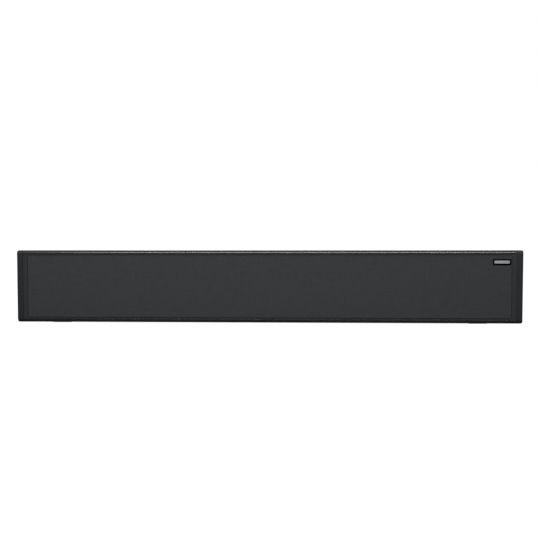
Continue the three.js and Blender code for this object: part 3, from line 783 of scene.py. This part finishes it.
def make_port(side):
    """A tube with a flange behind the sleeve's back wall and a mouth that flares out through it."""
    node = f"{side}_port_tube"
    low, high = node_box(node)
    bore, tube, flange, lip = 16.0, 18.0, 26.0, 21.6
    flare_out, flare_deep = 4.8, 12.0
    inside = REAR - WALL
    profile = [
        (bore, low.y), (tube, low.y), (tube, inside - 3), (flange, inside - 2.4),
        (flange, inside - GAP), (lip, inside - GAP), (lip, high.y)]
    for a in np.linspace(math.pi / 2, 0, 14):
        out = bore + flare_out * (1 - math.cos(a))
        profile.append((out, high.y - flare_deep * (1 - math.sin(a))))
    piece(
        f"{side}_port_flare", turned(profile, centre(node).x, DRIVER_Z), "port_plastic",
        replaces=[node], edge=0.25, angle=50)


def make_foot(node):
    low, high = node_box(node)
    half = (high.y - low.y) / 2
    outline = rounded(low.x, low.y, high.x, high.y, half - 0.01, 12)
    pad = prism("z", outline, low.z, high.z)
    piece(f"{node}_pad", pad, "foot_rubber", replaces=[node], edge=0.4, segments=3)


for port_side in SIDES:
    make_port(port_side)
for foot_side in SIDES:
    for foot_row in ("front", "rear"):
        make_foot(f"{foot_side}_{foot_row}_foot")

# ---------------------------------------------------------------- drivers


def make_woofer(name, cone_body):
    """Its basket, its rubber roll, which stretches between basket and cone, its cone and its dust cap."""
    x = centre(f"{name}_chassis").x
    y = FLANGE_FRONT
    chassis = [
        (11, 27), (11, 25.2), (18.2, 24.6), (33.4, 7), (35.2, 1.5), (39.6, 1.5), (39.6, 0.25),
        (40, 0), (41.6, 0), (42, 0.4), (42, 2.5), (36.4, 2.5), (34.8, 8), (19.6, 27)]
    piece(
        f"{name}_basket", turned(chassis, x, DRIVER_Z, y), "black_steel",
        replaces=[f"{name}_chassis"], edge=0.15, angle=50)
    roll = arc(33.6, 0.6, 3.4, 0, -180, 18)
    back = arc(33.6, 0.6, 2.8, -180, 0, 14)
    surround = [
        (39.3, 0.6), *roll, (30.2, 2.6), (27.8, 2.8), (27.8, 3.4), (30.8, 3.2), *back,
        (36.6, 1.2), (39.3, 1.2)]
    made = piece(
        f"{name}_roll", turned(surround, x, DRIVER_Z, y), "surround_rubber",
        replaces=[f"{name}_surround"])
    made.parent = None
    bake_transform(made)
    cone = [
        (11, 13.6), (13, 12.5), (16, 10.6), (19.5, 8.4), (23, 6.5), (26, 5.0), (28.4, 4.1),
        (30.2, 3.8), (30.2, 4.5), (28.3, 4.9), (23.2, 7.5), (16.4, 11.6),
        (9.1, 17), (9.1, 30), (8.3, 30), (8.3, 13.4)]
    piece(
        f"{name}_diaphragm", turned(cone, x, DRIVER_Z, y), "cone_paper",
        body=cone_body, replaces=[f"{name}_cone"])
    crown = [(11.6 * s, 9.8 + 4 * s ** 2.2) for s in np.linspace(0.08, 1, 14)]
    cap = [(0, 9.8), *crown, (11.4, 14.3), (8.6, 13.2), (4.4, 11.2), (0, 10.4)]
    piece(f"{name}_dust_cap", turned(cap, x, DRIVER_Z, y), "dome_fabric", body=cone_body)


def make_tweeter(name):
    """A faceplate with a shallow horn, and a soft dome at the horn's throat."""
    x = centre(f"{name}_body").x
    y = FLANGE_FRONT
    horn = [(14.2 + 9.6 * s, 5.0 - 4.6 * s ** 0.55) for s in np.linspace(0, 1, 12)]
    body = [
        (0, 9), (13, 9), (13, 5.4), (14.2, 5.4), *horn, (25.6, 0.4), (26, 0.8), (26, 2.5),
        (20.6, 2.5), (20.6, 26), (0, 26)]
    piece(
        f"{name}_faceplate", turned(body, x, DRIVER_Z, y), "inner_plastic",
        replaces=[f"{name}_body"], edge=0.12, angle=50)
    crown = [(10.6 * math.sin(a), 2.6 + 4.2 * (1 - math.cos(a))) for a in np.linspace(0.1, 1.3, 12)]
    dome = [(0, 2.6), *crown, (11.4, 5.3), (12.0, 5.0), (12.6, 5.6), (12.4, 6.1)]
    dome += [(10.4, 6.7), (5, 4.4), (0, 3.8)]
    piece(f"{name}_silk", turned(dome, x, DRIVER_Z, y), "dome_fabric", replaces=[f"{name}_dome"])


def make_driver_screws():
    """Four screws round each woofer and three round each tweeter."""
    circles = [(centre(f"{name}_chassis").x, WOOFER_SCREWS, 4, 45) for name in WOOFERS]
    circles += [(centre(f"{name}_body").x, TWEETER_SCREWS, 3, 90) for name in TWEETERS]
    head = screw_head(2.3, 1.1)
    shapes = []
    for x, radius, count, first in circles:
        for i in range(count):
            a = math.radians(first + 360 / count * i)
            across = x + radius * math.cos(a)
            up = DRIVER_Z + radius * math.sin(a)
            shapes.append(placed(head, across, BOARD_FRONT - GAP, up, FACING["front"]))
    head.free()
    piece("driver_screws", combined(shapes), "black_steel")


for woofer_index, woofer_name in enumerate(WOOFERS):
    make_woofer(woofer_name, f"cone_{woofer_index + 1}")
for tweeter_name in TWEETERS:
    make_tweeter(tweeter_name)
make_driver_screws()

# ---------------------------------------------------------------- CAD nodes that stay as they are

# How far the edges of each are rounded.
KEPT_EDGES = {
    "terminal_panel": 0.3,
    "power_inlet": 0.15,
    "hdmi_socket": 0.1,
    "optical_socket": 0.15,
    "optical_flap": 0.1,
    "aux_socket": 0.15,
    "usb_socket": 0.1,
    "left_hanger_plate": 0.1,
    "right_hanger_plate": 0.1,
    "grille_frame": 0.25,
    "main_board": 0.05,
    "power_board": 0.05,
    "sensor_board": 0.05,
    "button_board": 0.05,
    "heat_sink": 0.15,
    "transformer": 0.4,
    "reservoir_capacitor": 0.5,
    "sensor_window": 0.2,
}
KEPT_EDGES.update({f"{name}_magnet": 0.4 for name in WOOFERS})


def finish_cad_nodes():
    """Gives every CAD node its slot's material, and rounds the edges of those that are seen."""
    slots = {row["node"]: row["material_slot"] for row in frame["record"]["subparts"]}
    for name, made in frame["nodes"].items():
        made.data.materials.clear()
        made.data.materials.append(FINISH[slots[name]])
        if name in KEPT_EDGES:
            bevel = made.modifiers.new("edges", "BEVEL")
            bevel.width = KEPT_EDGES[name] * MM
            bevel.segments = 2
            bevel.limit_method = "ANGLE"
            bevel.angle_limit = math.radians(40)


finish_cad_nodes()

# ---------------------------------------------------------------- stage and light

# In metres, and the floor's reflectance to the camera and to all other rays.
FLOOR_HALF = 60.0
FLOOR_SEEN = 0.2
FLOOR_UNSEEN = 0.22
FLOOR_GLOW = 0.95
# The room's brightness near the horizon and overhead.
ROOM_LOW = 0.2
ROOM_HIGH = 0.35
SUN_POWER = 0.25
SUN_SPREAD = 120


def make_floor():
    """A wide pale floor. A glow that only the camera sees keeps the shadows on it faint."""
    mesh = bpy.data.meshes.new("floor")
    h = FLOOR_HALF
    mesh.from_pydata([(-h, -h, 0), (h, -h, 0), (h, h, 0), (-h, h, 0)], [], [(0, 1, 2, 3)])
    floor = bpy.data.objects.new("floor", mesh)
    bpy.context.scene.collection.objects.link(floor)
    material = bpy.data.materials.new("floor")
    material.use_nodes = True
    tree = material.node_tree
    shader = tree.nodes["Principled BSDF"]
    shader.inputs["Roughness"].default_value = 0.9
    shader.inputs["Specular IOR Level"].default_value = 0.0
    ray = tree.nodes.new("ShaderNodeLightPath")
    mix = tree.nodes.new("ShaderNodeMix")
    mix.data_type = "RGBA"
    mix.inputs["A"].default_value = (FLOOR_UNSEEN, FLOOR_UNSEEN, FLOOR_UNSEEN, 1)
    mix.inputs["B"].default_value = (FLOOR_SEEN, FLOOR_SEEN, FLOOR_SEEN, 1)
    tree.links.new(ray.outputs["Is Camera Ray"], mix.inputs["Factor"])
    tree.links.new(mix.outputs["Result"], shader.inputs["Base Color"])
    shader.inputs["Emission Color"].default_value = (1, 1, 1, 1)
    glow = tree.nodes.new("ShaderNodeMath")
    glow.operation = "MULTIPLY"
    glow.inputs[1].default_value = FLOOR_GLOW
    tree.links.new(ray.outputs["Is Camera Ray"], glow.inputs[0])
    tree.links.new(glow.outputs["Value"], shader.inputs["Emission Strength"])
    mesh.materials.append(material)


def make_world():
    """White behind the object, and a dim even room in its reflections, a little brighter overhead."""
    world = bpy.data.worlds.new("studio")
    bpy.context.scene.world = world
    world.use_nodes = True
    tree = world.node_tree
    tree.nodes.clear()
    out = tree.nodes.new("ShaderNodeOutputWorld")
    ray = tree.nodes.new("ShaderNodeLightPath")
    mix = tree.nodes.new("ShaderNodeMixShader")
    seen = tree.nodes.new("ShaderNodeBackground")
    seen.inputs["Color"].default_value = (1, 1, 1, 1)
    seen.inputs["Strength"].default_value = 1.0
    room = tree.nodes.new("ShaderNodeBackground")
    room.inputs["Color"].default_value = (0.96, 0.98, 1.0, 1)
    way = tree.nodes.new("ShaderNodeTexCoord")
    split = tree.nodes.new("ShaderNodeSeparateXYZ")
    rise = tree.nodes.new("ShaderNodeMapRange")
    rise.interpolation_type = "SMOOTHSTEP"
    rise.inputs["From Min"].default_value = 0.1
    rise.inputs["From Max"].default_value = 0.7
    rise.inputs["To Min"].default_value = ROOM_LOW
    rise.inputs["To Max"].default_value = ROOM_HIGH
    tree.links.new(way.outputs["Generated"], split.inputs["Vector"])
    tree.links.new(split.outputs["Z"], rise.inputs["Value"])
    tree.links.new(rise.outputs["Result"], room.inputs["Strength"])
    tree.links.new(ray.outputs["Is Camera Ray"], mix.inputs["Fac"])
    tree.links.new(room.outputs["Background"], mix.inputs[1])
    tree.links.new(seen.outputs["Background"], mix.inputs[2])
    tree.links.new(mix.outputs["Shader"], out.inputs["Surface"])


def softbox(name, place, target, width, height, power):
    """A rectangular lamp, placed and sized in metres."""
    data = bpy.data.lights.new(name, "AREA")
    data.shape = "RECTANGLE"
    data.size = width
    data.size_y = height
    data.energy = power
    light = bpy.data.objects.new(name, data)
    bpy.context.scene.collection.objects.link(light)
    turn = (Vector(target) - Vector(place)).to_track_quat("-Z", "Y")
    light.matrix_world = Matrix.Translation(place) @ turn.to_matrix().to_4x4()
    light.visible_camera = False


def make_lights():
    sun = bpy.data.lights.new("overhead", "SUN")
    sun.energy = SUN_POWER
    sun.angle = math.radians(SUN_SPREAD)
    light = bpy.data.objects.new("overhead", sun)
    bpy.context.scene.collection.objects.link(light)
    light.visible_glossy = False
    softbox("back", (0.0, 1.7, 0.85), (0, 0, 0.08), 1.3, 0.6, 5.5)
    softbox("front", (0.0, -0.95, 0.9), (0, 0, 0.12), 1.3, 0.2, 8.6)


make_floor()
make_world()
make_lights()
bpy.context.scene.view_settings.view_transform = "Standard"
bpy.context.scene.view_settings.look = "None"
